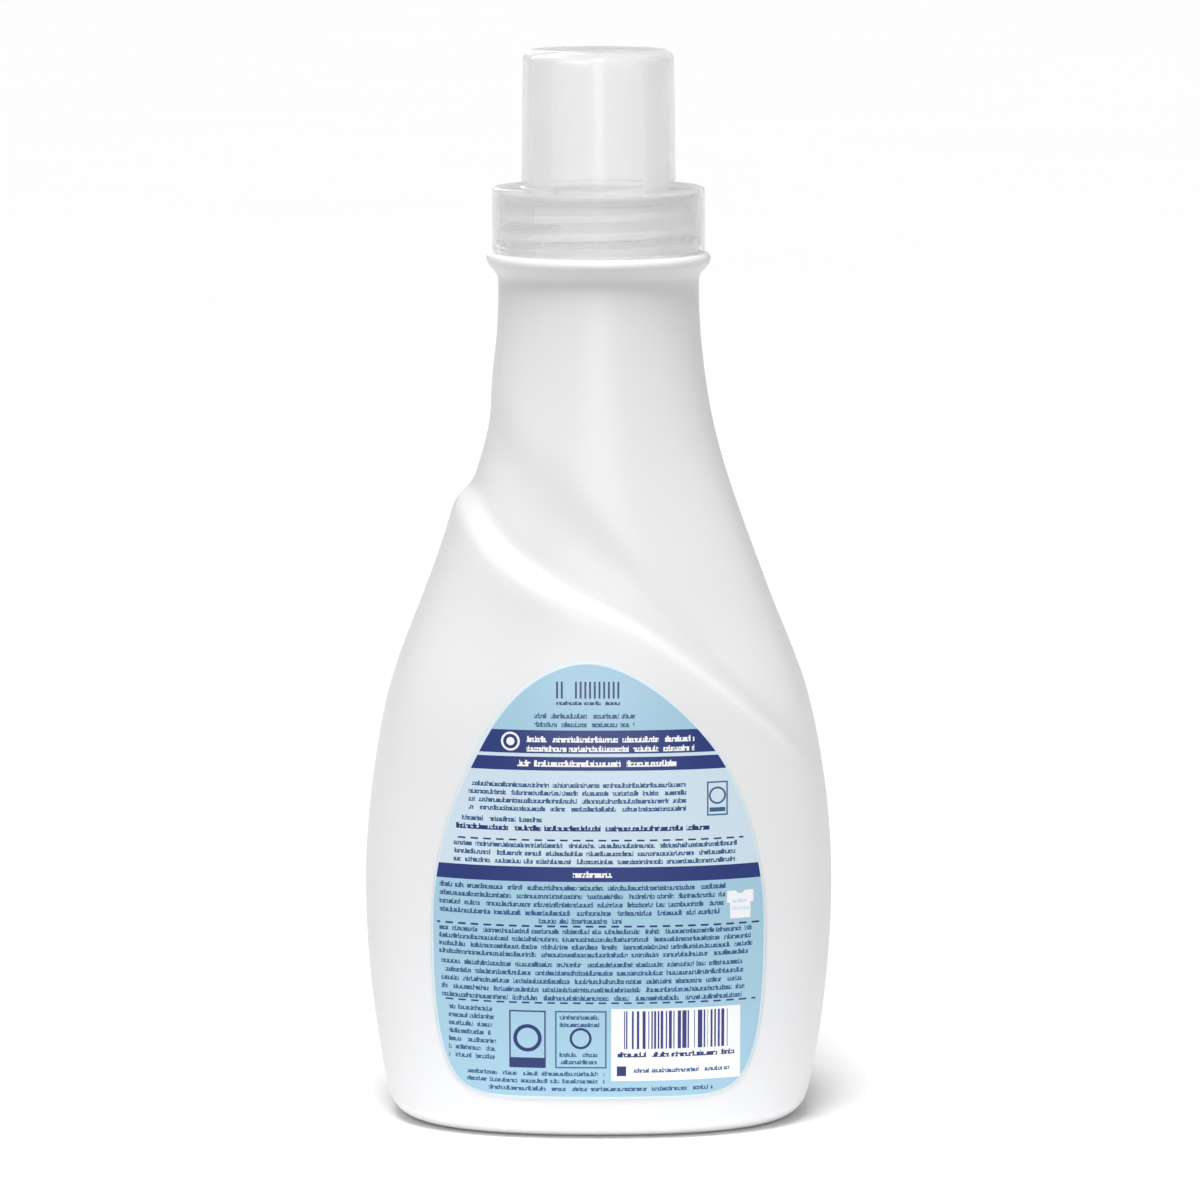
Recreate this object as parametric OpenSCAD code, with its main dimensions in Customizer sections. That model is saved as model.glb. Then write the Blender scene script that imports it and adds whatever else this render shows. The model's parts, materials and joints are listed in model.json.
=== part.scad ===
// Fabric softener bottle: a blown oval bottle with a ridge that sweeps round its shoulder,
// a drain-back pouring spout in its neck, and a screw cap whose top half is the dosing cup.
// The origin is the middle of the base, +Z is up, and the printed label faces -Y.

/* [Body] */
// Widest width of the body, along the label
body_w = 112; // [100:1:130]
// Widest depth of the body, front to back
body_d = 78; // [66:1:90]
// Height of the widest section above the base
widest_z = 57; // [48:1:66]
// Width of the walls where they would meet the table
heel_w = 98.6; // [90:0.2:108]
// Depth of the walls where they would meet the table
heel_d = 68; // [60:1:76]
// Radius of the rounded edge of the base
heel_r = 6; // [4:0.5:9]
// Width of the flat ring that the bottle stands on
land_w = 3; // [2:0.5:5]
// Height of the hollow in the middle of the base
push_up = 3; // [1.5:0.5:5]
// Wall thickness of the blown bottle
wall_t = 1.1; // [0.8:0.1:1.6]
// Squareness of the oval, where 2 is an ellipse
oval = 2.4; // [2:0.1:3]

/* [Shoulder] */
// Height of the upper body, where the walls turn in
shoulder_z = 100; // [92:1:108]
// Width of the upper body
shoulder_w = 101.8; // [92:0.2:108]
// Depth of the upper body
shoulder_d = 73; // [64:1:80]
// Height of the middle of the long slope
slope_z = 127; // [120:1:136]
// Width at the middle of the long slope
slope_w = 81.4; // [74:0.4:90]
// Depth at the middle of the long slope
slope_d = 64; // [56:1:72]
// Height of the throat, under the straight neck
throat_z = 162; // [154:1:170]
// Width at the throat
throat_w = 57; // [53:0.5:64]
// Depth at the throat
throat_d = 54; // [50:0.5:62]

/* [Ridge] */
// How far the lower body stands proud just under the ridge
ridge_rise = 1.5; // [0.5:0.1:2.5]
// How far the shoulder is scooped in just above the ridge
ridge_dip = 1.3; // [0.5:0.1:2]
// Height of the sloping face between the two
ridge_face = 6.4; // [5:0.2:9]
// Depth of the groove that the ridge runs out into on the low side
groove_dip = 0.6; // [0.2:0.1:1]
// Height of the groove's lower face
groove_face = 3.2; // [2.4:0.2:5]

/* [Neck] */
// Outer diameter of the plain neck
neck_od = 47.6; // [46.6:0.2:49]
// Height of the top of the plain neck, where the bead starts
neck_z = 201; // [190:1:212]
// Outer diameter of the bead under the cap
bead_od = 53.3; // [51.6:0.1:56]
// Height of the bead
bead_h = 6.4; // [5:0.2:8]
// Height of the threaded spigot above the bead
spigot_h = 12.1; // [11.5:0.1:15]
// Diameter of the spigot at the root of its thread
root_d = 44.8; // [44.2:0.1:45.4]
// Diameter over the crest of the spigot's thread
crest_d = 47; // [46.6:0.1:47.2]
// Diameter of the mouth
mouth_d = 42.2; // [41:0.1:42.8]
// Rise of the thread in one turn
thread_pitch = 4.23; // [3.8:0.01:4.6]
// Turns of thread on the spigot
thread_turns = 1.45; // [1:0.05:1.6]

/* [Spout] */
// Thickness of the spout's flange, wall and floor
spout_t = 1.2; // [0.8:0.1:1.6]
// Depth of the drain trough below the flange
trough_h = 8; // [6:0.5:12]
// Outer diameter of the pouring tube
tube_od = 24; // [18:0.5:28]
// Height of the pouring lip above the flange
lip_h = 1.8; // [0.5:0.1:2.5]
// How far the back of the tube is cut down below its lip
lip_drop = 5; // [2:0.5:6]
// Width of the drain slot in the tube
drain_w = 5; // [3:0.5:8]

/* [Cap] */
// Outer diameter of the threaded skirt
skirt_od = 50.4; // [49.7:0.1:51.2]
// Wall thickness of the skirt
skirt_t = 1; // [0.8:0.1:1.1]
// Thickness of the deck between skirt and cup
deck_t = 1.2; // [0.8:0.1:2]
// Outer diameter of the dosing cup at its closed end
cup_od = 35.8; // [32:0.2:37]
// Height of the dosing cup above the deck
cup_h = 32.4; // [24:0.4:45]
// Wall thickness of the dosing cup
cup_t = 1.3; // [0.9:0.1:2]
// Radius of the cup's rounded top edge
cup_r = 2.6; // [1.5:0.1:4]
// How much wider the cup is at the deck than at its closed end
cup_draft = 0.8; // [0.4:0.1:1.6]
// Thickness of the sealing washer under the deck
washer_t = 0.8; // [0.5:0.1:1.5]

/* [Label] */
// Width of the label
label_w = 78.8; // [60:0.4:84]
// Height of the label's bottom edge
label_z = 10.4; // [8:0.2:16]
// Height of the label's top
label_top_z = 114.2; // [106:0.2:118]
// Height where the label is widest
label_wide_z = 52; // [46:1:58]
// How far the label's top leans off the middle
label_lean = 2.7; // [0:0.1:5]
// Thickness of the label film
label_t = 0.12; // [0.08:0.01:0.2]

/* [Hidden] */

// Gaps between pieces that touch or slide on the real bottle
seat_gap = 0.1;
fit_gap = 0.1;
skirt_gap = 0.4;
film_gap = 0.16;
ink_gap = 0.06;
ink_t = 0.06;
film_cells = 20;

// Heights that follow from the sizes above
bead_top = neck_z + bead_h;
rim_z = bead_top + spigot_h;
flange_z = rim_z + seat_gap;
flange_top = flange_z + spout_t;
washer_z = flange_top + seat_gap;
deck_z = washer_z + washer_t + seat_gap;
deck_top = deck_z + deck_t;
cap_top = deck_top + cup_h;
skirt_z = bead_top + skirt_gap;

// Shape of the body: height, half width, half depth and squareness
stations = [
    [0, heel_w / 2, heel_d / 2, oval],
    [widest_z, body_w / 2, body_d / 2, oval],
    [shoulder_z, shoulder_w / 2, shoulder_d / 2, oval],
    [slope_z, slope_w / 2, slope_d / 2, oval],
    [throat_z, throat_w / 2, throat_d / 2, 2 + (oval - 2) / 3],
    [neck_z - 15, neck_od / 2 + 0.6, neck_od / 2 + 0.6, 2],
    [neck_z, neck_od / 2, neck_od / 2, 2]
];

// Path of the ridge: angle round from the low side, and height at that angle
ridge_path = [[0, 80], [25, 88], [50, 102], [75, 118.5], [95, 128.5], [125, 139], [152, 148], [180, 151]];
ridge_fade_from = 42;
ridge_fade_to = 108;
groove_fade = 22;
groove_len = 7;
scoop_len = 28;
proud_len = 66;
lip_len = 13;

// Mesh of the body: columns round it, and rows near the ridge by distance from it
columns = 60;
ridge_reach = 12;
ridge_rows = [-12, -8, -5, -3.4, -2, -0.7, 0.7, 2, 3.4, 5, 8, 12];

function mix(a, b, t) = a + (b - a) * t;
function smooth(t) = let (u = min(max(t, 0), 1)) u * u * (3 - 2 * u);
function steps(n) = [for (i = [0:n]) i / n];

// Smooth curve through a list of stations, for the value in column k. It turns level
// at a high or low point and at the last station.
function chord(s, i, k) = (s[i + 1][k] - s[i][k]) / (s[i + 1][0] - s[i][0]);
function middle_slope(s, i, k) = chord(s, i - 1, k) * chord(s, i, k) <= 0
    ? 0
    : (s[i + 1][k] - s[i - 1][k]) / (s[i + 1][0] - s[i - 1][0]);
function slope(s, i, k) = i == len(s) - 1
    ? 0
    : i == 0 ? 2 * chord(s, 0, k) - middle_slope(s, 1, k) : middle_slope(s, i, k);
function piece(s, x, i = 0) = i >= len(s) - 2 || x < s[i + 1][0] ? i : piece(s, x, i + 1);
function curve(s, x, k) = let (
    i = piece(s, x),
    w = s[i + 1][0] - s[i][0],
    t = min(max((x - s[i][0]) / w, 0), 1),
    t2 = t * t,
    t3 = t2 * t)
    s[i][k] * (2 * t3 - 3 * t2 + 1) + s[i + 1][k] * (3 * t2 - 2 * t3)
    + w * (slope(s, i, k) * (t3 - 2 * t2 + t) + slope(s, i + 1, k) * (t3 - t2));

// The ridge is the same on the front and the back
function fold(phi) = phi <= 180 ? phi : 360 - phi;
function ridge_z(phi) = curve(ridge_path, fold(phi), 1);
function ridge_offset(z, phi) = let (
    d = z - ridge_z(phi),
    grown = smooth((fold(phi) - ridge_fade_from) / (ridge_fade_to - ridge_fade_from)),
    face = mix(groove_face, ridge_face, grown),
    run = mix(groove_len, scoop_len, grown),
    side = 1 - 2 * smooth((d + face / 2) / face),
    dip = mix(groove_dip * smooth(fold(phi) / groove_fade), ridge_dip, grown),
    scoop = dip * (1 - smooth((d - run / 2) * 2 / run)),
    lip = ridge_rise / 2 * (1 - smooth((-d - ridge_face / 2) / lip_len)),
    proud = ridge_rise / 2 * (1 - smooth((-d - proud_len / 2) * 2 / proud_len)))
    side * (side > 0 ? grown * (lip + proud) : scoop);

// Point on the body at height z and angle phi, moved outwards by out
function skin(z, phi, out = 0) = let (
    o = out + ridge_offset(z, phi),
    power = 2 / curve(stations, z, 3),
    c = cos(phi),
    s = sin(phi))
    [
        sign(c) * (curve(stations, z, 1) + o) * pow(abs(c), power),
        sign(s) * (curve(stations, z, 2) + o) * pow(abs(s), power),
        z
    ];

// One ring of points: round the body, or a plain circle of the neck
function angles(n = columns) = [for (i = [0:n - 1]) 360 * i / n];
function body_ring(z, out) = [for (phi = angles()) skin(z, phi, out)];
function circle_ring(r, z) = [for (phi = angles()) [r * cos(phi), r * sin(phi), z]];
function foot_ring(inset, z) = [for (phi = angles()) let (p = skin(0, phi, -inset)) [p.x, p.y, z]];
function heel_ring(z, out) = [for (phi = angles()) let (p = skin(z, phi, out)) [p.x, p.y, z]];

// Rings up the body. They slant with the ridge, so that its edges stay crisp.
function low_ring(t, out) = [for (phi = angles())
    skin(mix(heel_r, ridge_z(phi) - ridge_reach, t), phi, out)];
function ridge_ring(d, out) = [for (phi = angles()) skin(ridge_z(phi) + d, phi, out)];
function high_ring(t, out) = [for (phi = angles())
    skin(mix(ridge_z(phi) + ridge_reach, neck_z, t), phi, out)];
function wall_rings(low, rows, high, out) = concat(
    [for (i = [0:low - 1]) low_ring(i / low, out)],
    [for (d = rows) ridge_ring(d, out)],
    [for (i = [1:high]) high_ring(i / high, out)]);

// Triangles that join each ring of n points to the next
function band_faces(rings, n) = [for (j = [0:rings - 2], i = [0:n - 1], half = [0, 1]) let (
    a = j * n + i,
    b = j * n + (i + 1) % n)
    half == 0 ? [a, a + n, b] : [b, a + n, b + n]];

// Closed solid through rings that start at the point first and end at the point last
module loft(rings, first, last) {
    n = len(rings[0]);
    total = len(rings) * n;
    points = concat([for (ring = rings) each ring], [first, last]);
    start = [for (i = [0:n - 1]) [total, i, (i + 1) % n]];
    end = [for (i = [0:n - 1]) [total + 1, total - n + (i + 1) % n, total - n + i]];
    polyhedron(points, concat(band_faces(len(rings), n), start, end), convexity = 8);
}

// Screw thread with a tapered section that runs out at both ends. Its middle is at
// height z at angle phi, and it climbs from there by turns.
thread_step = 9;
thread_fade = 20;
module thread(root_r, crest_r, root_w, crest_w, z, phi, turns) {
    count = ceil(turns * 360 / thread_step);
    sense = sign(crest_r - root_r);
    rings = [for (j = [0:count]) let (
        turn = 360 * turns * j / count,
        full = smooth(0.1 + min(turn, 360 * turns - turn) / thread_fade),
        r = mix(root_r, crest_r, full),
        h = z + thread_pitch * turn / 360,
        sx = cos(phi + turn),
        sy = sin(phi + turn),
        section = [[root_r, -root_w / 2], [r, -crest_w / 2], [r, crest_w / 2], [root_r, root_w / 2]])
        [for (i = [0:3]) let (p = section[sense > 0 ? 3 - i : i]) [p.x * sx, p.x * sy, h + p.y]]];
    last = 4 * count;
    caps = [[0, 1, 2], [0, 2, 3], [last + 2, last + 1, last], [last + 3, last + 2, last]];
    polyhedron([for (ring = rings) each ring], concat(band_faces(count + 1, 4), caps), convexity = 8);
}

// Thin film on the body between two heights. left and right give its edges by height.
module film(heights, cells, out, t, left, right) {
    rows = len(heights);
    n = cells + 1;
    sheets = [for (o = [out + t, out], z = heights, i = [0:cells])
        skin(z, mix(edge_angle(left(z), z), edge_angle(right(z), z), i / cells), o)];
    front = [for (j = [0:rows - 2], i = [0:cells - 1], half = [0, 1]) let (a = j * n + i)
        half == 0 ? [a, a + n, a + 1] : [a + 1, a + n, a + n + 1]];
    m = rows * n;
    back = [for (f = front) [f[2] + m, f[1] + m, f[0] + m]];
    ends = [for (j = [0:rows - 2], side = [0, 1], half = [0, 1]) let (
        a = j * n + side * cells,
        p = side == 0 ? a + n : a,
        q = side == 0 ? a : a + n)
        half == 0 ? [p, q, q + m] : [p, q + m, p + m]];
    rims = [for (i = [0:cells - 1], side = [0, 1], half = [0, 1]) let (
        a = side * (rows - 1) * n + i,
        p = side == 0 ? a : a + 1,
        q = side == 0 ? a + 1 : a)
        half == 0 ? [p, q, q + m] : [p, q + m, p + m]];
    polyhedron(sheets, concat(front, back, ends, rims), convexity = 4);
}

// Angle on the label's side of the body for a place x at height z
function edge_angle(x, z) = let (f = x / curve(stations, z, 1))
    270 + asin(sign(f) * pow(abs(f), curve(stations, z, 3) / 2));

// Outline of the label: an egg with a round top and a flatter bottom
function label_half(z) = z > label_wide_z
    ? label_w / 2 * pow(max(1 - pow((z - label_wide_z) / (label_top_z - label_wide_z), 1.9), 0), 0.55)
    : label_w / 2 * pow(max(1 - pow((label_wide_z - z) / (label_wide_z - label_z), 2.6), 0), 0.11);
function label_middle(z) = -label_lean * smooth((z - lean_from_z) / (label_top_z - lean_from_z));
function label_left(z) = label_middle(z) - label_half(z);
function label_right(z) = label_middle(z) + label_half(z);

// Height where the label starts to lean
lean_from_z = 88;

// Printed fields of the label, by height
navy_bands = [[62.8, 66.3], [89, 92.2], [93, 98.4]];
pale_panel = [66.3, 89];
barcode_x = [3, 33.4];
barcode_z = [14.8, 32.4];
mark_x = -20.8;
mark_r = 2.2;
mark_z = 95.7;
ink_margin = 0.25;

function ink_left(z) = label_left(z) + ink_margin;
function ink_right(z) = label_right(z) - ink_margin;
function between(z0, z1, n) = [for (t = steps(n)) mix(z0, z1, t)];

module bottle() {
    ri = heel_r - wall_t;
    outer_heel = [for (q = [0:22.5:67.5])
        heel_ring(heel_r * (1 - cos(q)), -heel_r * (1 - sin(q)))];
    inner_heel = [for (q = [60:-30:0])
        heel_ring(wall_t + ri * (1 - cos(q)), -wall_t - ri * (1 - sin(q)))];
    outer_foot = [
        foot_ring(heel_r + land_w + 14, push_up * 0.95),
        foot_ring(heel_r + land_w + 4, push_up * 0.6),
        foot_ring(heel_r + land_w, 0)
    ];
    inner_foot = [
        foot_ring(heel_r + land_w, wall_t),
        foot_ring(heel_r + land_w + 4, push_up * 0.6 + wall_t),
        foot_ring(heel_r + land_w + 14, push_up * 0.95 + wall_t)
    ];
    outer_wall = wall_rings(12, ridge_rows, 11, 0);
    inner_wall = wall_rings(8, [-12, -5, -2, 2, 5, 12], 7, -wall_t);
    inner_down = [for (j = [len(inner_wall) - 1:-1:0]) inner_wall[j]];
    bead_r = bead_od / 2;
    root_r = root_d / 2;
    mouth_r = mouth_d / 2;
    finish = [
        [mix(neck_od / 2, bead_r, 0.1), neck_z + bead_h * 0.16],
        [mix(neck_od / 2, bead_r, 0.32), neck_z + bead_h * 0.31],
        [mix(neck_od / 2, bead_r, 0.62), neck_z + bead_h * 0.45],
        [mix(neck_od / 2, bead_r, 0.86), neck_z + bead_h * 0.58],
        [bead_r, neck_z + bead_h * 0.72],
        [bead_r, neck_z + bead_h * 0.84],
        [bead_r - 0.4, bead_top - 0.3],
        [bead_r - 1.2, bead_top],
        [root_r + 0.5, bead_top],
        [root_r, bead_top + 0.5],
        [root_r, rim_z - 0.5],
        [root_r - 0.4, rim_z],
        [mouth_r + 0.3, rim_z],
        [mouth_r, rim_z - 0.4],
        [mouth_r, neck_z + 2]
    ];
    neck = [for (p = finish) circle_ring(p[0], p[1])];
    color("white") union() {
        loft(concat(outer_foot, outer_heel, outer_wall, neck, inner_down, inner_heel, inner_foot),
            [0, 0, push_up], [0, 0, push_up + wall_t]);
        thread(root_r - 0.3, crest_d / 2, 2.7, 1, thread_low, thread_start, thread_turns);
    }
}

// Lowest point of the spigot's thread, set from the rim, the angle where it starts, and
// how far the cap's thread lies under it when the cap is closed
thread_low = rim_z - 2 - thread_turns * thread_pitch;
thread_start = 180;
thread_drop = 1.75;
cap_turns = 1.2;
cap_thread_crest = crest_d / 2 - 0.7;

module pour_spout() {
    plug_r = mouth_d / 2 - fit_gap;
    tube_r = tube_od / 2;
    floor_z = flange_z - trough_h;
    lip_top = flange_top + lip_h;
    flange_r = root_d / 2;
    color("whitesmoke") union() {
        rotate_extrude($fn = 72) polygon([
            [tube_r - spout_t / 2, floor_z],
            [plug_r - 0.4, floor_z],
            [plug_r, floor_z + 0.4],
            [plug_r, flange_z],
            [flange_r, flange_z],
            [flange_r, flange_top],
            [plug_r - spout_t, flange_top],
            [plug_r - spout_t, floor_z + spout_t + 0.6],
            [tube_r - spout_t / 2, floor_z + spout_t]
        ]);
        difference() {
            translate([0, 0, floor_z - 2]) cylinder(r = tube_r, h = lip_top - floor_z + 2, $fn = 64);
            translate([0, 0, floor_z - 3])
                cylinder(r = tube_r - spout_t, h = lip_top - floor_z + 4, $fn = 64);
            translate([tube_r, -tube_od, lip_top]) rotate([0, -atan(lip_drop / tube_od), 0])
                translate([-3 * tube_od, 0, 0]) cube([4 * tube_od, 2 * tube_od, 3 * lip_drop]);
            translate([-tube_r - 1, -drain_w / 2, floor_z + spout_t])
                cube([tube_r, drain_w, 2.5]);
        }
    }
}

module sealing_washer() {
    color("gainsboro") translate([0, 0, washer_z]) difference() {
        cylinder(r = skirt_od / 2 - skirt_t - 0.4, h = washer_t, $fn = 72);
        translate([0, 0, -1]) cylinder(d = cup_od + cup_draft, h = washer_t + 2, $fn = 72);
    }
}

// Arc of points round a centre in the cap's section
function arc(cx, cz, r, from, to, n = 5) = [for (t = steps(n)) let (a = mix(from, to, t))
    [cx + r * cos(a), cz + r * sin(a)]];

module cap() {
    skirt_r = skirt_od / 2;
    bore_r = skirt_r - skirt_t;
    top_r = cup_od / 2;
    base_r = top_r + cup_draft / 2;
    edge = 0.9;
    fillet = 0.7;
    inner_r = cup_r - cup_t / 2;
    color("aliceblue") union() {
        rotate_extrude($fn = 96) polygon(concat(
            [[bore_r, skirt_z + 0.3], [bore_r + 0.3, skirt_z], [skirt_r - 0.3, skirt_z], [skirt_r, skirt_z + 0.3]],
            arc(skirt_r - edge, deck_top - edge, edge, 0, 90),
            arc(base_r + fillet, deck_top + fillet, fillet, -90, -180),
            arc(top_r - cup_r, cap_top - cup_r, cup_r, 0, 90),
            [[0, cap_top], [0, cap_top - cup_t]],
            arc(top_r - cup_t - inner_r, cap_top - cup_t - inner_r, inner_r, 90, 0),
            [[base_r - cup_t, deck_z], [bore_r, deck_z]]
        ));
        thread(bore_r + 0.4, cap_thread_crest, 2.3, 0.9, thread_low - thread_drop, thread_start, cap_turns);
    }
}

module back_label() {
    height = label_top_z - label_z;
    heights = [for (t = steps(22)) label_z + height * mix(0.0004, 0.9985, (1 - cos(180 * t)) / 2)];
    color("skyblue") film(heights, film_cells, film_gap, label_t,
        function (z) label_left(z), function (z) label_right(z));
}

ink_out = film_gap + label_t + ink_gap;

module label_navy_bands() {
    color("darkslateblue") for (band = navy_bands)
        film(between(band[0], band[1], 2), film_cells, ink_out, ink_t,
            function (z) ink_left(z), function (z) ink_right(z));
}

module label_pale_panel() {
    color("lightcyan") film(between(pale_panel[0], pale_panel[1], 6), film_cells, ink_out, ink_t,
        function (z) ink_left(z), function (z) ink_right(z));
}

module label_white_patches() {
    white_out = ink_out + ink_t + ink_gap;
    color("white") {
        film(between(barcode_z[0], barcode_z[1], 4), 8, white_out, ink_t,
            function (z) barcode_x[0], function (z) barcode_x[1]);
        film([for (t = steps(10)) mark_z - 0.98 * mark_r * cos(180 * t)], 3, white_out, ink_t,
            function (z) mark_x - sqrt(pow(mark_r, 2) - pow(z - mark_z, 2)),
            function (z) mark_x + sqrt(pow(mark_r, 2) - pow(z - mark_z, 2)));
    }
}

bottle();
pour_spout();
sealing_washer();
cap();
back_label();
label_navy_bands();
label_pale_panel();
label_white_patches();
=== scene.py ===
"""Dresses the fabric softener bottle: a finer blown body, the printed label, the clear cap and the studio."""

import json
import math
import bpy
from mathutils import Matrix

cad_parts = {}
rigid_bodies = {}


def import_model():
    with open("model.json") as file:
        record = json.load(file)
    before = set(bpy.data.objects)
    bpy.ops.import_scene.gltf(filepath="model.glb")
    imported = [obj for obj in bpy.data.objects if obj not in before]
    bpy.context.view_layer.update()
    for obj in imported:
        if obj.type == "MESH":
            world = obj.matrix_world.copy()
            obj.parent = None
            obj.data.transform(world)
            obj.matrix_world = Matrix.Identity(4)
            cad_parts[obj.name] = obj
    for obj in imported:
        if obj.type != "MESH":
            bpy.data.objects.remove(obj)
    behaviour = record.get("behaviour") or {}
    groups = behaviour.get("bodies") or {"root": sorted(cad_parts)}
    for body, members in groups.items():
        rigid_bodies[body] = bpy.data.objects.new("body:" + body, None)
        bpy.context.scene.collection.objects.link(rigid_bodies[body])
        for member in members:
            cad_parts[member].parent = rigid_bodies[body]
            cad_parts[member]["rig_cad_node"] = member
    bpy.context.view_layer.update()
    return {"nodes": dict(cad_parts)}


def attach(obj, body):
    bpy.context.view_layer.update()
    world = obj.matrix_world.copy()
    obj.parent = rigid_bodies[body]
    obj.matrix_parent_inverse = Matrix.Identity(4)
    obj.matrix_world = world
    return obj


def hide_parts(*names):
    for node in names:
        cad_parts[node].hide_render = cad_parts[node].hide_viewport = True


bl_info = {
    "name": "Fabric Softener Bottle",
    "version": (1, 0, 0),
    "blender": (4, 5, 0),
    "location": "View3D > Sidebar > Bottle",
    "description": "Finishes a softener bottle on its packed frame and sets it in a pale studio",
    "category": "Object",
}

import bpy
from bpy.props import FloatProperty, FloatVectorProperty, IntProperty, PointerProperty

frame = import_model()
MM = 0.001


def srgb(red, green, blue):
    """A colour given in the 0 to 255 of a paint chart, as the linear values that shaders use."""
    def linear(value):
        share = value / 255
        return share / 12.92 if share <= 0.04045 else ((share + 0.055) / 1.055) ** 2.4
    return (linear(red), linear(green), linear(blue))


# The label's outline in millimetres, as the part's source has it. Its tip leans from lean_from up, and
# the powers shape its upper and lower half.
LABEL_OUTLINE = {
    "half_width": 39.4, "low": 10.4, "wide": 52, "high": 114.2, "lean": 2.7, "lean_from": 88,
    "upper_powers": (1.9, 0.55), "lower_powers": (2.6, 0.11)}
# Narrowest gap to the label's outline that is still measured, in millimetres
LEAST_INSET = 0.001
# Steps that keep the print's patterns in one row, and from row to row, apart
ROW_STEP = 37.7
WORD_STEP, STEM_STEP, TALL_STEP, TURN_STEP, END_STEP = 3.1, 5.3, 7.9, 9.7, 11.3

# Sizes and colours that a user would change


class BodySettings(bpy.types.PropertyGroup):
    """The blown bottle."""
    smoothing: IntProperty(
        name="Smoothing", description="Subdivision levels of the blown body", default=2, min=0, max=2)
    neck_cut: FloatProperty(
        name="Neck cut", description="Height where the soft body ends and the threaded spigot begins",
        default=208.3 * MM, unit="LENGTH")
    crease: FloatProperty(
        name="Crease angle", description="Edges sharper than this stay sharp",
        default=math.radians(50), subtype="ANGLE")
    colour: FloatVectorProperty(
        name="Colour", description="Colour of the polyethylene", default=srgb(246, 246, 247),
        subtype="COLOR", min=0, max=1)
    glow_depth: FloatProperty(
        name="Glow depth", description="How far light travels inside the wall",
        default=2.5 * MM, unit="LENGTH")
    parting_line: FloatProperty(
        name="Parting line", description="Width of the mould's parting line down the sides",
        default=0.35 * MM, unit="LENGTH")


class CapSettings(bpy.types.PropertyGroup):
    """The screw cap with its dosing cup."""
    colour: FloatVectorProperty(
        name="Colour", description="Tint of the clear polypropylene", default=srgb(254, 254, 254),
        subtype="COLOR", min=0, max=1)
    clearness: FloatProperty(
        name="Clearness", description="Share of the milky plastic's light that is bent through it",
        default=0.5, min=0, max=1)
    haze: FloatProperty(
        name="Haze", description="Share of the wall that isn't seen straight through",
        default=0.5, min=0, max=1)
    frosting: FloatProperty(
        name="Frosting", description="Roughness of the moulded surface", default=0.14, min=0, max=1)


class LabelSettings(bpy.types.PropertyGroup):
    """The printed back label."""
    smoothing: IntProperty(
        name="Smoothing", description="Subdivision levels of the film", default=2, min=0, max=3)
    blue: FloatVectorProperty(
        name="Blue", description="Ground colour of the label", default=srgb(168, 206, 226),
        subtype="COLOR", min=0, max=1)
    pale: FloatVectorProperty(
        name="Pale blue", description="Colour of the middle panel", default=srgb(211, 230, 242),
        subtype="COLOR", min=0, max=1)
    # The pale band along the film's outline, with the colour and width below, is a painted highlight: light
    # caught by the film's rim
    edge: FloatVectorProperty(
        name="Edge", description="Colour of the unprinted edge of the film", default=srgb(222, 238, 247),
        subtype="COLOR", min=0, max=1)
    rim_highlight_width: FloatProperty(
        name="Border", description="Width of the unprinted edge of the film", default=0.5 * MM, unit="LENGTH")
    navy: FloatVectorProperty(
        name="Navy", description="Colour of the bands", default=srgb(40, 58, 124),
        subtype="COLOR", min=0, max=1)


class StageSettings(bpy.types.PropertyGroup):
    """Camera, floor and lights."""
    distance: FloatProperty(
        name="Distance", description="Distance of the camera from the bottle's axis",
        default=1.514, unit="LENGTH")
    height: FloatProperty(
        name="Height", description="Height of the camera above the floor", default=0.325, unit="LENGTH")
    pitch: FloatProperty(
        name="Pitch", description="How far the camera looks down",
        default=math.radians(7.556), subtype="ANGLE")
    lens: FloatProperty(name="Lens", description="Focal length", default=191.9, unit="CAMERA")
    shift: FloatProperty(name="Shift", description="Sideways framing of the photograph", default=0.00125)
    floor_size: FloatProperty(name="Floor", description="Width of the floor", default=12.0, unit="LENGTH")
    floor_front: FloatProperty(
        name="Floor in front", description="How far the floor reaches towards the camera",
        default=0.11, unit="LENGTH")
    overhead: FloatProperty(
        name="Overhead light", description="Strength of the light from above", default=2.65)
    front: FloatProperty(
        name="Front light", description="Power of the soft box at the camera", default=8.8, unit="POWER")
    rear: FloatProperty(
        name="Rear light", description="Power of the soft box behind the bottle", default=6.0, unit="POWER")
    room: FloatProperty(
        name="Room light", description="Even light from all round", default=0.26)


# Shader maths


class Link:
    """A shader socket that takes arithmetic and comparison."""

    def __init__(self, shader, socket):
        self.shader = shader
        self.socket = socket

    def math(self, operation, *others):
        return self.shader.node(
            "ShaderNodeMath", {"operation": operation}, dict(enumerate((self, *others))))

    def __add__(self, other):
        return self.math("ADD", other)

    __radd__ = __add__

    def __sub__(self, other):
        return self.math("SUBTRACT", other)

    def __rsub__(self, other):
        return self.shader.node("ShaderNodeMath", {"operation": "SUBTRACT"}, {0: other, 1: self})

    def __mul__(self, other):
        return self.math("MULTIPLY", other)

    __rmul__ = __mul__

    def __truediv__(self, other):
        return self.math("DIVIDE", other)

    def __rtruediv__(self, other):
        return self.shader.node("ShaderNodeMath", {"operation": "DIVIDE"}, {0: other, 1: self})

    def __gt__(self, other):
        return self.math("GREATER_THAN", other)

    def __lt__(self, other):
        return self.math("LESS_THAN", other)

    def __and__(self, other):
        return self.math("MULTIPLY", other)

    def __or__(self, other):
        return self.math("MAXIMUM", other)

    def __abs__(self):
        return self.math("ABSOLUTE")


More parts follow.
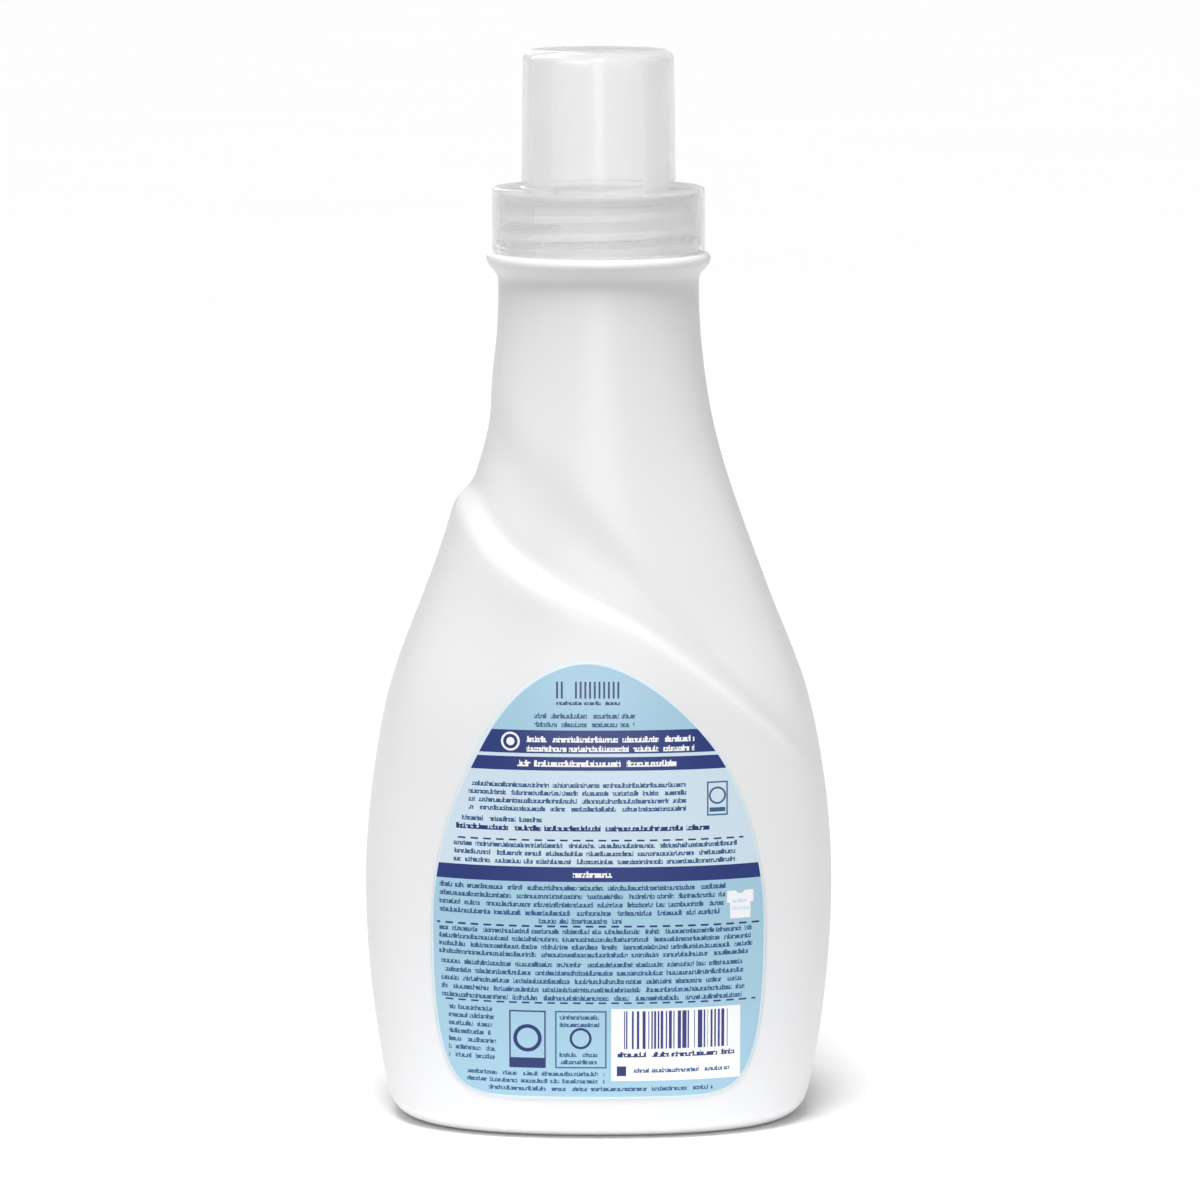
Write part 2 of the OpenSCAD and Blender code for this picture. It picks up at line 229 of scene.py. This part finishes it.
class Shader:
    """The node tree of one material."""

    def __init__(self, name):
        self.material = bpy.data.materials.new(name)
        self.material.use_nodes = True
        self.tree = self.material.node_tree
        self.surface = self.tree.nodes["Principled BSDF"]
        self.place = self.node("ShaderNodeTexCoord", out="Object")
        parts = self.node("ShaderNodeSeparateXYZ", values={0: self.place}).socket.node
        self.x, self.y, self.z = (Link(self, parts.outputs[i]) * 1000 for i in range(3))

    def node(self, kind, settings=None, values=None, out=0):
        """A new node with its settings made and its sockets set or linked, as the link of one output."""
        made = self.tree.nodes.new(kind)
        for key, value in (settings or {}).items():
            setattr(made, key, value)
        for key, value in (values or {}).items():
            self.feed(made.inputs[key], value)
        return Link(self, made.outputs[out])

    def feed(self, socket, value):
        if isinstance(value, Link):
            self.tree.links.new(value.socket, socket)
        elif socket.type == "RGBA" and len(value) == 3:
            socket.default_value = (*value, 1)
        else:
            socket.default_value = value

    def finish(self, **values):
        """Sets or links the surface's own sockets, named with underscores for spaces."""
        for key, value in values.items():
            self.feed(self.surface.inputs[key.replace("_", " ")], value)
        return self.material

    def noise(self, scale, detail):
        return self.node(
            "ShaderNodeTexNoise", None, {"Vector": self.place, "Scale": scale, "Detail": detail})

    def noise_along(self, where, scale):
        """Noise that changes along one value only."""
        return self.node(
            "ShaderNodeTexNoise", {"noise_dimensions": "1D"}, {"W": where, "Scale": scale, "Detail": 0.0})

    def soft(self, value, low, high):
        """0 below low, 1 above high and smooth between."""
        return self.node(
            "ShaderNodeMapRange", {"interpolation_type": "SMOOTHSTEP"},
            {"Value": value, "From Min": low, "From Max": high})

    def mix(self, share, first, second):
        """A colour that goes from first to second."""
        return self.node(
            "ShaderNodeMix", {"data_type": "RGBA"}, {0: share, 6: first, 7: second}, out=2)

    def bump(self, height, strength, distance):
        return self.node(
            "ShaderNodeBump", None, {"Height": height, "Strength": strength, "Distance": distance})


# Materials


def polyethylene(name, colour, depth, parting=None):
    """White blown or moulded polyethylene: milky, with a satin skin and a faint flow ripple."""
    shader = Shader(name)
    ripple = shader.noise(70, 3)
    skin = shader.noise(900, 2)
    height = ripple * 0.7 + skin * 0.06
    if parting:
        line = 1 - shader.soft(abs(shader.y), 0, parting * 1000)
        height = height + line * 0.8
    return shader.finish(
        Base_Color=shader.mix(ripple, colour, [0.985 * c for c in colour]),
        Roughness=0.34 + ripple * 0.08,
        Subsurface_Weight=0.35,
        Subsurface_Radius=(1.0, 0.95, 0.9),
        Subsurface_Scale=depth,
        IOR=1.5,
        Specular_IOR_Level=0.45,
        Normal=shader.bump(height, 0.25, 0.15 * MM))


def clear_polypropylene(settings):
    """Natural polypropylene: milky and see-through, frosted by the mould."""
    shader = Shader("clear_polypropylene")
    flow = shader.noise(60, 2)
    return shader.finish(
        Base_Color=shader.mix(flow, settings.colour, [0.985 * c for c in settings.colour]),
        Roughness=settings.frosting + flow * 0.06,
        Transmission_Weight=settings.clearness,
        Alpha=settings.haze,
        IOR=1.49,
        Specular_IOR_Level=0.2,
        Normal=shader.bump(flow, 0.15, 0.2 * MM))


def washer_foam():
    """Closed-cell foam with fine pores."""
    shader = Shader("washer_foam")
    pores = shader.noise(2600, 3)
    return shader.finish(
        Base_Color=shader.mix(pores, srgb(226, 226, 224), srgb(205, 205, 203)),
        Roughness=0.8 + pores * 0.1,
        Normal=shader.bump(pores, 0.4, 0.1 * MM))


class Print:
    """Draws flat shapes on the label by their place in millimetres across and up it."""

    def __init__(self, shader, ground):
        self.shader = shader
        self.x = shader.x
        self.z = shader.z
        self.colour = ground

    def lay(self, mask, ink):
        self.colour = self.shader.mix(mask, self.colour, ink)

    def box(self, left, right, low, high):
        return (self.x > left) & (self.x < right) & (self.z > low) & (self.z < high)

    def band(self, low, high):
        return (self.z > low) & (self.z < high)

    def outline(self, left, right, low, high, line):
        inner = self.box(left + line, right - line, low + line, high - line)
        return self.box(left, right, low, high) & (1 - inner)

    def distance(self, x, z):
        across = self.x - x
        up = self.z - z
        return (across * across + up * up).math("SQRT")

    def ring(self, x, z, radius, line):
        return abs(self.distance(x, z) - radius) < line / 2

    def disc(self, x, z, radius):
        return self.distance(x, z) < radius

    def rule(self, left, right, z, line, dash=3.0, share=0.6):
        """A row of dashes, each the given share of its pitch."""
        stroke = (self.x / dash).math("FRACT") < share
        return self.box(left, right, z - line / 2, z + line / 2) & stroke

    def inset(self, outline):
        """How far a place lies inside the label's egg-shaped outline."""
        wide, high, half_width = outline["wide"], outline["high"], outline["half_width"]
        leaning = outline["lean"] * self.shader.soft(self.z, outline["lean_from"], high)
        across = abs(self.x + leaning) / half_width
        upper = self.z > wide
        reach = self.choose(upper, high - wide, wide - outline["low"])
        away = abs(self.z - wide) / reach
        curve, flare = (
            self.choose(upper, *powers) for powers in zip(outline["upper_powers"], outline["lower_powers"]))
        span = (1 - away.math("POWER", curve)).math("MAXIMUM", 0).math("POWER", flare)
        rise = (1 - across.math("POWER", 1 / flare)).math("MAXIMUM", 0).math("POWER", 1 / curve)
        sideways = ((span - across) * half_width).math("MAXIMUM", LEAST_INSET)
        upright = ((rise - away) * reach).math("MAXIMUM", LEAST_INSET)
        return sideways * upright / (sideways * sideways + upright * upright).math("SQRT")

    def choose(self, mask, inside, outside):
        """One value where the mask is 1 and another where it is 0."""
        return mask * (inside - outside) + outside

    def strokes(self, left, right, top, count, pitch, height, cell=0.42, ragged=2.0):
        """Rows of small upright and level strokes in word-like groups, which stand for small print."""
        down = (top - self.z) / pitch
        seed = down.math("FLOOR") * ROW_STEP + top
        level = down.math("FRACT") * (pitch / height)
        inside = (down > 0) & (down < count) & (level < 1)
        words = self.shader.noise_along(self.x + seed * WORD_STEP, 0.42) > 0.3
        stems = self.shader.noise_along(self.x + seed * STEM_STEP, 0.9 / cell) > 0.46
        tall = self.shader.noise_along(self.x + seed * TALL_STEP, 0.5 / cell) > 0.6
        turns = self.shader.noise_along(self.x + seed * TURN_STEP, 0.7 / cell)
        upright = stems & (level > 0.28 - tall * 0.28)
        upper = (turns > 0.48) & (abs(level - 0.4) < 0.12)
        lower = (turns < 0.6) & (abs(level - 0.88) < 0.12)
        end = right - self.shader.noise_along(seed * END_STEP, 1.0) * ragged
        return inside & words & (upright | upper | lower) & (self.x > left) & (self.x < end)

    def bars(self, left, right, low, high, cell):
        """Upright bars of uneven width."""
        width = self.shader.noise_along(self.x + left, 0.3 / cell) * 0.5 + 0.25
        return self.box(left, right, low, high) & (self.shader.noise_along(self.x, 0.9 / cell) > width)


def label_print(settings):
    """The label's film: fields of blue, navy bands, generic strokes where the print was, and a painted
    highlight along its outline.
    """
    shader = Shader("label_print")
    page = Print(shader, settings.blue)
    white = srgb(250, 251, 252)
    ink = srgb(58, 98, 142)
    deep = srgb(34, 52, 112)
    page.lay(page.band(66.3, 89), settings.pale)
    page.lay(page.band(62.8, 66.3) | page.band(89, 92.2) | page.band(93, 98.4), settings.navy)
    page.lay(page.band(92.2, 93), settings.pale)
    # Top panel
    heading = page.rule(-10.2, -8, 107.75, 3.9, 1.1, 0.42) | page.rule(-6, 5.2, 107.75, 3.9, 1.1, 0.42)
    page.lay(heading, deep)
    page.lay(page.strokes(-10, 5, 105.2, 1, 1.4, 0.9, 0.4, 0), deep)
    page.lay(page.strokes(-15, 9.5, 102.4, 2, 2, 1.25), ink)
    # White print on the navy bands
    page.lay(page.strokes(-16.8, 23.5, 97, 2, 2.2, 1.4), white)
    page.lay(page.strokes(-19, 19.5, 91.4, 1, 2, 1.5, 0.6), white)
    page.lay(page.strokes(-6, 3.2, 65.3, 1, 2, 1.5, 0.6, 0), white)
    page.lay(page.ring(-20.6, 95.7, 1.95, 0.5) | page.disc(-20.6, 95.7, 0.95), white)
    # Pale panel
    page.lay(page.strokes(-30.5, 21.5, 86.2, 4, 1.86, 1.2), ink)
    page.lay(page.strokes(-32, -12, 78, 1, 1.9, 1.2), ink)
    page.lay(page.strokes(-33.4, 27, 76.1, 1, 1.9, 1.35, 0.6), deep)
    page.lay(page.outline(25.4, 30.3, 78, 86, 0.35), ink)
    page.lay(page.ring(27.85, 82.7, 1.8, 0.45) | page.box(26, 29.7, 78.9, 79.9), ink)
    page.lay(page.rule(-34, 34, 72.6, 0.4), deep)
    page.lay(page.strokes(-34, 33.5, 72, 3, 1.9, 1.2), ink)
    # Lower panel
    page.lay(page.strokes(-37.4, 30, 62, 4, 2, 1.25), ink)
    page.lay(page.strokes(-14, 6, 54.1, 1, 1.9, 1.25), ink)
    page.lay(page.box(30.2, 36.4, 57.2, 60) | page.box(30.9, 35.7, 53.4, 57.2), white)
    page.lay(page.disc(33.3, 60.4, 1.1), settings.blue)
    page.lay(page.strokes(31.3, 35.5, 58, 2, 1.7, 0.9, 0.4, 0), settings.pale)
    page.lay(page.rule(-38, 38, 52.2, 0.45), deep)
    page.lay(page.strokes(-37.5, 37, 51.6, 4, 1.86, 1.2), ink)
    page.lay(page.strokes(-37, 35, 43.7, 5, 2.02, 1.25), ink)
    page.lay(page.rule(-37, 37, 33.8, 0.4), deep)
    # Bottom row
    page.lay(page.strokes(-35.3, -23, 32.6, 7, 1.95, 1.2, 0.5, 3.5), ink)
    page.lay(page.outline(-21, -12.4, 17.9, 31.9, 0.35) | page.box(-21, -12.4, 17.9, 20.4), deep)
    page.lay(page.ring(-16.7, 25.2, 2.9, 0.9), deep)
    page.lay(page.outline(-10.2, 1.9, 17.9, 31.9, 0.35), ink)
    page.lay(page.strokes(-9.2, 1, 30.9, 2, 1.8, 1.1), ink)
    page.lay(page.ring(-4.2, 25.2, 2.3, 0.6), deep)
    page.lay(page.strokes(-9.2, 1, 21.8, 2, 1.8, 1.1), ink)
    page.lay(page.box(3, 33.4, 14.8, 32.4), white)
    page.lay(page.bars(6, 30.4, 22.6, 31.8, 0.62), srgb(52, 56, 128))
    page.lay(page.strokes(4.5, 32, 21.9, 1, 2, 1.3, 0.7, 0), deep)
    page.lay(page.box(4.3, 6.5, 16, 18.4), deep)
    page.lay(page.strokes(8, 31.5, 17.9, 1, 2, 1.1), ink)
    page.lay(page.strokes(-31, 1.5, 17.1, 2, 1.8, 1.1, 0.5, 0), ink)
    page.lay(page.strokes(-26, 27, 13.4, 1, 1.8, 1.1, 0.5, 0), ink)
    # Painted highlight: a pale band along the film's outline, standing in for the light caught by its rim
    page.lay(page.inset(LABEL_OUTLINE) < settings.rim_highlight_width * 1000, settings.edge)
    fibre = shader.noise(500, 2)
    return shader.finish(
        Base_Color=page.colour,
        Roughness=0.36 + fibre * 0.08,
        IOR=1.5,
        Normal=shader.bump(fibre, 0.08, 0.05 * MM))


# Modelling helpers


def only(piece):
    """Leaves one object selected and active, out of edit mode."""
    if bpy.context.mode != "OBJECT":
        bpy.ops.object.mode_set(mode="OBJECT")
    bpy.ops.object.select_all(action="DESELECT")
    piece.select_set(True)
    bpy.context.view_layer.objects.active = piece


def welded_copy(node, name):
    """A copy of a packed solid as one joined surface of quads, ready to be refined."""
    only(frame["nodes"][node])
    bpy.ops.object.duplicate()
    piece = bpy.context.object
    bpy.ops.object.parent_clear(type="CLEAR_KEEP_TRANSFORM")
    piece.name = name
    del piece["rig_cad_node"]
    piece.data.materials.clear()
    bpy.ops.mesh.customdata_custom_splitnormals_clear()
    bpy.ops.object.mode_set(mode="EDIT")
    bpy.ops.mesh.select_all(action="SELECT")
    bpy.ops.mesh.remove_doubles(threshold=0.001 * MM)
    bpy.ops.mesh.tris_convert_to_quads(face_threshold=math.radians(30), shape_threshold=math.radians(60))
    bpy.ops.object.mode_set(mode="OBJECT")
    return piece


def cut_level(piece, height, keep_below):
    """Cuts the piece level at a height and keeps one side, with the wall left open at the cut."""
    only(piece)
    bpy.ops.object.mode_set(mode="EDIT")
    bpy.ops.mesh.select_all(action="SELECT")
    bpy.ops.mesh.bisect(
        plane_co=(0, 0, height), plane_no=(0, 0, 1), clear_outer=keep_below, clear_inner=not keep_below)
    bpy.ops.object.mode_set(mode="OBJECT")


def close_cut(piece):
    """Joins the outer and inner rim of a cut wall."""
    only(piece)
    bpy.ops.object.mode_set(mode="EDIT")
    bpy.ops.mesh.select_all(action="DESELECT")
    bpy.ops.mesh.select_non_manifold(
        use_wire=False, use_multi_face=False, use_non_contiguous=False, use_verts=False)
    bpy.ops.mesh.bridge_edge_loops()
    bpy.ops.object.mode_set(mode="OBJECT")


def apply_subdivision(piece, levels):
    only(piece)
    if levels:
        soft = piece.modifiers.new("Subdivision", "SUBSURF")
        soft.levels = levels
        soft.render_levels = levels
        bpy.ops.object.modifier_apply(modifier=soft.name)
    bpy.ops.object.shade_smooth()


def smooth_by_angle(piece, angle):
    only(piece)
    bpy.ops.object.shade_smooth_by_angle(angle=angle)


def dress(piece, material, body):
    """Gives a finished piece its material and its body."""
    piece.data.materials.clear()
    piece.data.materials.append(material)
    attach(piece, body)


# Operators


class BOTTLE_OT_body(bpy.types.Operator):
    """Refine the blown body and its moulded neck"""
    bl_idname = "bottle.body"
    bl_label = "Blown body"

    def execute(self, context):
        settings = context.scene.bottle_body
        material = polyethylene(
            "white_polyethylene", settings.colour, settings.glow_depth, settings.parting_line)
        body = welded_copy("bottle", "blown_body")
        cut_level(body, settings.neck_cut, True)
        apply_subdivision(body, settings.smoothing)
        close_cut(body)
        smooth_by_angle(body, settings.crease)
        dress(body, material, "container")
        neck = welded_copy("bottle", "threaded_neck")
        cut_level(neck, settings.neck_cut, False)
        close_cut(neck)
        smooth_by_angle(neck, settings.crease)
        dress(neck, material, "container")
        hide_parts("bottle")
        return {"FINISHED"}


class BOTTLE_OT_spout(bpy.types.Operator):
    """Finish the pouring spout and the sealing washer"""
    bl_idname = "bottle.spout"
    bl_label = "Spout and washer"

    def execute(self, context):
        settings = context.scene.bottle_body
        finishes = {
            "pour_spout": polyethylene("spout_polyethylene", settings.colour, settings.glow_depth),
            "sealing_washer": washer_foam(),
        }
        for name, material in finishes.items():
            node = frame["nodes"][name]
            node.data.materials.clear()
            node.data.materials.append(material)
        return {"FINISHED"}


class BOTTLE_OT_cap(bpy.types.Operator):
    """Finish the screw cap and its dosing cup"""
    bl_idname = "bottle.cap"
    bl_label = "Cap"

    def execute(self, context):
        node = frame["nodes"]["cap"]
        node.data.materials.clear()
        node.data.materials.append(clear_polypropylene(context.scene.bottle_cap))
        return {"FINISHED"}


class BOTTLE_OT_label(bpy.types.Operator):
    """Lay the printed label on the back"""
    bl_idname = "bottle.label"
    bl_label = "Back label"

    def execute(self, context):
        settings = context.scene.bottle_label
        film = welded_copy("back_label", "printed_label")
        apply_subdivision(film, settings.smoothing)
        dress(film, label_print(settings), "container")
        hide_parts("back_label", "label_navy_bands", "label_pale_panel", "label_white_patches")
        return {"FINISHED"}


class BOTTLE_OT_stage(bpy.types.Operator):
    """Set up the floor, the lights and the photograph's camera"""
    bl_idname = "bottle.stage"
    bl_label = "Stage"

    def execute(self, context):
        settings = context.scene.bottle_stage
        self.add_floor(settings)
        self.add_world(context.scene, settings)
        self.add_lights(settings)
        self.add_camera(context.scene, settings)
        return {"FINISHED"}

    def add_floor(self, settings):
        bpy.ops.object.select_all(action="DESELECT")
        bpy.ops.mesh.primitive_plane_add(
            size=settings.floor_size, location=(0, settings.floor_size / 2 - settings.floor_front, 0))
        bpy.ops.object.transform_apply(location=True, rotation=False, scale=False)
        floor = bpy.context.object
        floor.name = "floor"
        shader = Shader("floor_paint")
        mottle = shader.noise(3, 2)
        floor.data.materials.append(shader.finish(
            Base_Color=shader.mix(mottle, (0.95, 0.95, 0.95), (0.94, 0.94, 0.94)),
            Roughness=0.9,
            Specular_IOR_Level=0.0))

    def add_world(self, scene, settings):
        world = bpy.data.worlds.new("studio")
        world.use_nodes = True
        tree = world.node_tree
        lit = tree.nodes["Background"]
        lit.inputs["Color"].default_value = (1, 1, 1, 1)
        lit.inputs["Strength"].default_value = settings.room
        seen = tree.nodes.new("ShaderNodeBackground")
        seen.inputs["Color"].default_value = (1, 1, 1, 1)
        seen.inputs["Strength"].default_value = 1.0
        path = tree.nodes.new("ShaderNodeLightPath")
        either = tree.nodes.new("ShaderNodeMath")
        either.operation = "MAXIMUM"
        tree.links.new(path.outputs["Is Camera Ray"], either.inputs[0])
        tree.links.new(path.outputs["Is Transmission Ray"], either.inputs[1])
        choice = tree.nodes.new("ShaderNodeMixShader")
        tree.links.new(either.outputs[0], choice.inputs[0])
        tree.links.new(lit.outputs[0], choice.inputs[1])
        tree.links.new(seen.outputs[0], choice.inputs[2])
        tree.links.new(choice.outputs[0], tree.nodes["World Output"].inputs["Surface"])
        scene.world = world
        scene.view_settings.view_transform = "Standard"

    def add_lights(self, settings):
        bpy.ops.object.light_add(type="SUN", rotation=(math.radians(21), math.radians(-4), 0))
        overhead = bpy.context.object
        overhead.name = "overhead"
        overhead.data.energy = settings.overhead
        overhead.data.angle = math.radians(24)
        lamps = (
            ("front_box", (0, -1.8, 0.5), (math.radians(78), 0, 0), settings.front),
            ("rear_box", (-0.4, 1.7, 0.85), (math.radians(-66), 0, math.radians(13)), settings.rear),
        )
        for name, place, turn, power in lamps:
            bpy.ops.object.light_add(type="AREA", location=place, rotation=turn)
            lamp = bpy.context.object
            lamp.name = name
            lamp.data.shape = "DISK"
            lamp.data.size = 0.7
            lamp.data.energy = power

    def add_camera(self, scene, settings):
        bpy.ops.object.camera_add(
            location=(0, -settings.distance, settings.height),
            rotation=(math.pi / 2 - settings.pitch, 0, 0))
        camera = bpy.context.object
        camera.name = "photo_camera"
        camera.data.lens = settings.lens
        camera.data.sensor_width = 36
        camera.data.shift_x = settings.shift
        scene.camera = camera


# Panel and registration

STEPS = ("body", "spout", "cap", "label", "stage")
CLASSES = (
    BodySettings, CapSettings, LabelSettings, StageSettings,
    BOTTLE_OT_body, BOTTLE_OT_spout, BOTTLE_OT_cap, BOTTLE_OT_label, BOTTLE_OT_stage,
)
SETTINGS = {
    "bottle_body": BodySettings,
    "bottle_cap": CapSettings,
    "bottle_label": LabelSettings,
    "bottle_stage": StageSettings,
}


class BOTTLE_PT_panel(bpy.types.Panel):
    """Lists the bottle's settings and steps"""
    bl_idname = "BOTTLE_PT_panel"
    bl_label = "Softener Bottle"
    bl_space_type = "VIEW_3D"
    bl_region_type = "UI"
    bl_category = "Bottle"

    def draw(self, context):
        for name, group in SETTINGS.items():
            box = self.layout.box()
            box.label(text=group.__doc__.rstrip("."))
            for key in group.__annotations__:
                box.prop(getattr(context.scene, name), key)
        for step in STEPS:
            self.layout.operator("bottle." + step)


def register():
    for kind in (*CLASSES, BOTTLE_PT_panel):
        bpy.utils.register_class(kind)
    for name, group in SETTINGS.items():
        setattr(bpy.types.Scene, name, PointerProperty(type=group))


def unregister():
    for name in SETTINGS:
        delattr(bpy.types.Scene, name)
    for kind in reversed((*CLASSES, BOTTLE_PT_panel)):
        bpy.utils.unregister_class(kind)


def main():
    register()
    for step in STEPS:
        getattr(bpy.ops.bottle, step)()


if __name__ == "__main__":
    main()
